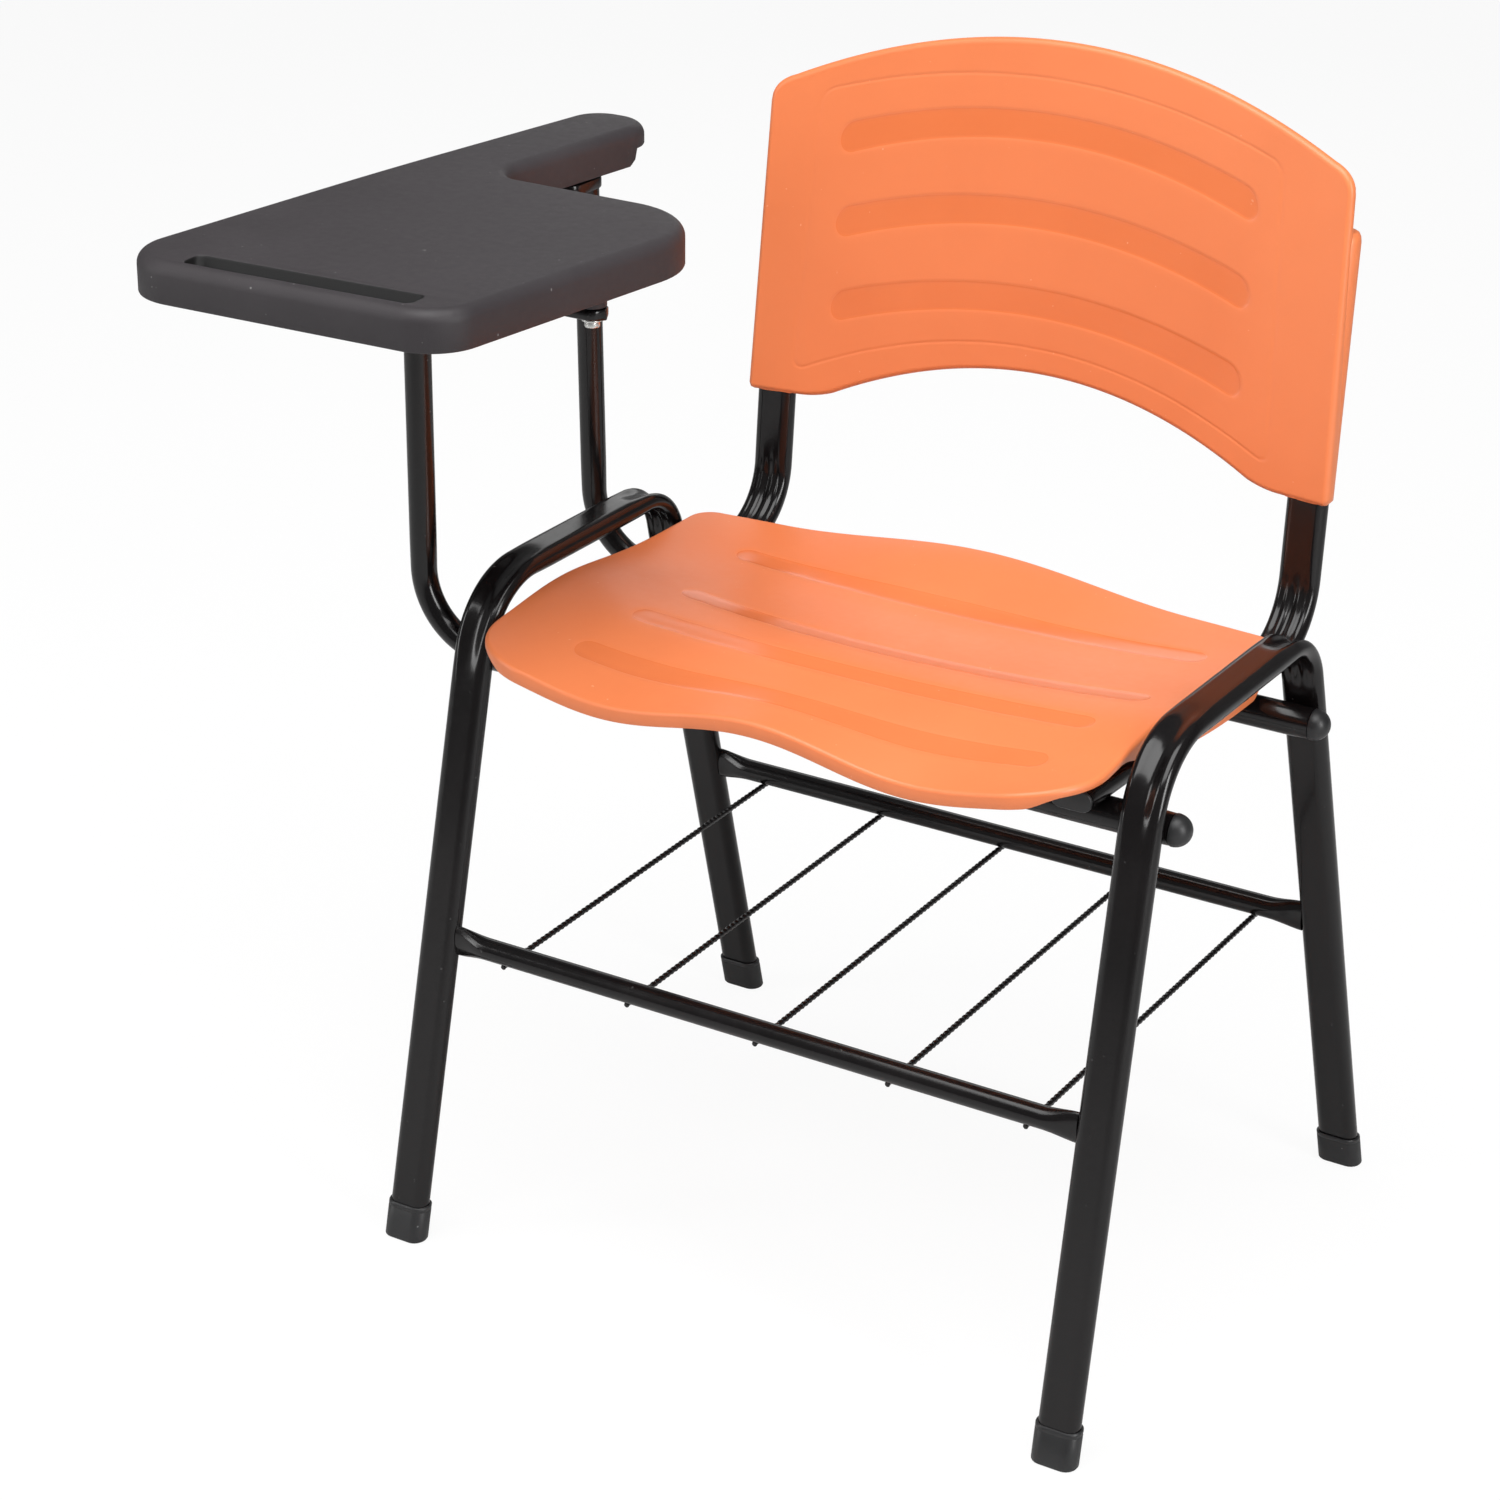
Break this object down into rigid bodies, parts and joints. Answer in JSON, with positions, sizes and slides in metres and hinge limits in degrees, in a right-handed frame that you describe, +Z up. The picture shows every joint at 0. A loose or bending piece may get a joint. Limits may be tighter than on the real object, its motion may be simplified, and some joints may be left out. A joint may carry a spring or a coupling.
{
  "type": "student desk chair",
  "caption": "Student chair with an orange plastic seat and back on a black oval-tube frame, a book rack below and a charcoal writing tablet on one side.",
  "frame": {"origin": "middle of the footprint of the whole chair, on the floor", "axes": "+Z up, +Y towards the back of the chair, +X to the sitter's left, so the tablet is at -X"},
  "size_m": [0.7008, 0.5512, 0.8135],
  "materials": {
    "black_paint": "gloss black powder coat on steel tube",
    "orange_plastic": "semi-gloss moulded polypropylene, orange",
    "charcoal_plastic": "fine-textured moulded plastic, charcoal",
    "black_plastic": "satin black plastic caps and plugs",
    "zinc_steel": "bright zinc-plated steel fasteners"
  },
  "bodies": {
    "frame": {"side_frame_left": "black_paint", "foot_cap_front_left": "black_plastic", "foot_cap_rear_left": "black_plastic", "back_upright_left": "black_paint", "rail_plug_left": "black_plastic", "backrest_screw_left": "zinc_steel", "seat_screw_front_left": "zinc_steel", "seat_screw_rear_left": "zinc_steel", "side_frame_right": "black_paint", "foot_cap_front_right": "black_plastic", "foot_cap_rear_right": "black_plastic", "back_upright_right": "black_paint", "rail_plug_right": "black_plastic", "backrest_screw_right": "zinc_steel", "seat_screw_front_right": "zinc_steel", "seat_screw_rear_right": "zinc_steel", "front_lower_bar": "black_paint", "rear_lower_bar": "black_paint", "rack_rod_1": "black_paint", "rack_rod_2": "black_paint", "rack_rod_3": "black_paint", "rack_rod_4": "black_paint", "rack_rod_5": "black_paint", "front_cross_tube": "black_paint", "front_cross_plug": "black_plastic", "clamp_screw_front": "zinc_steel", "rear_cross_tube": "black_paint", "rear_cross_plug": "black_plastic", "clamp_screw_rear": "zinc_steel", "seat_shell": "orange_plastic", "backrest_shell": "orange_plastic"},
    "tablet": {"tablet_top": "charcoal_plastic", "tablet_support_front": "black_paint", "tablet_support_rear": "black_paint", "tablet_washer_1": "zinc_steel", "tablet_bolt_1": "zinc_steel", "tablet_washer_2": "zinc_steel", "tablet_bolt_2": "zinc_steel", "tablet_washer_3": "zinc_steel", "tablet_bolt_3": "zinc_steel"}
  },
  "joints": [
    {"name": "tablet_slide", "type": "slide", "parent": "frame", "child": "tablet", "axis": [-1, 0, 0], "range_m": [0, 0.06]}
  ]
}
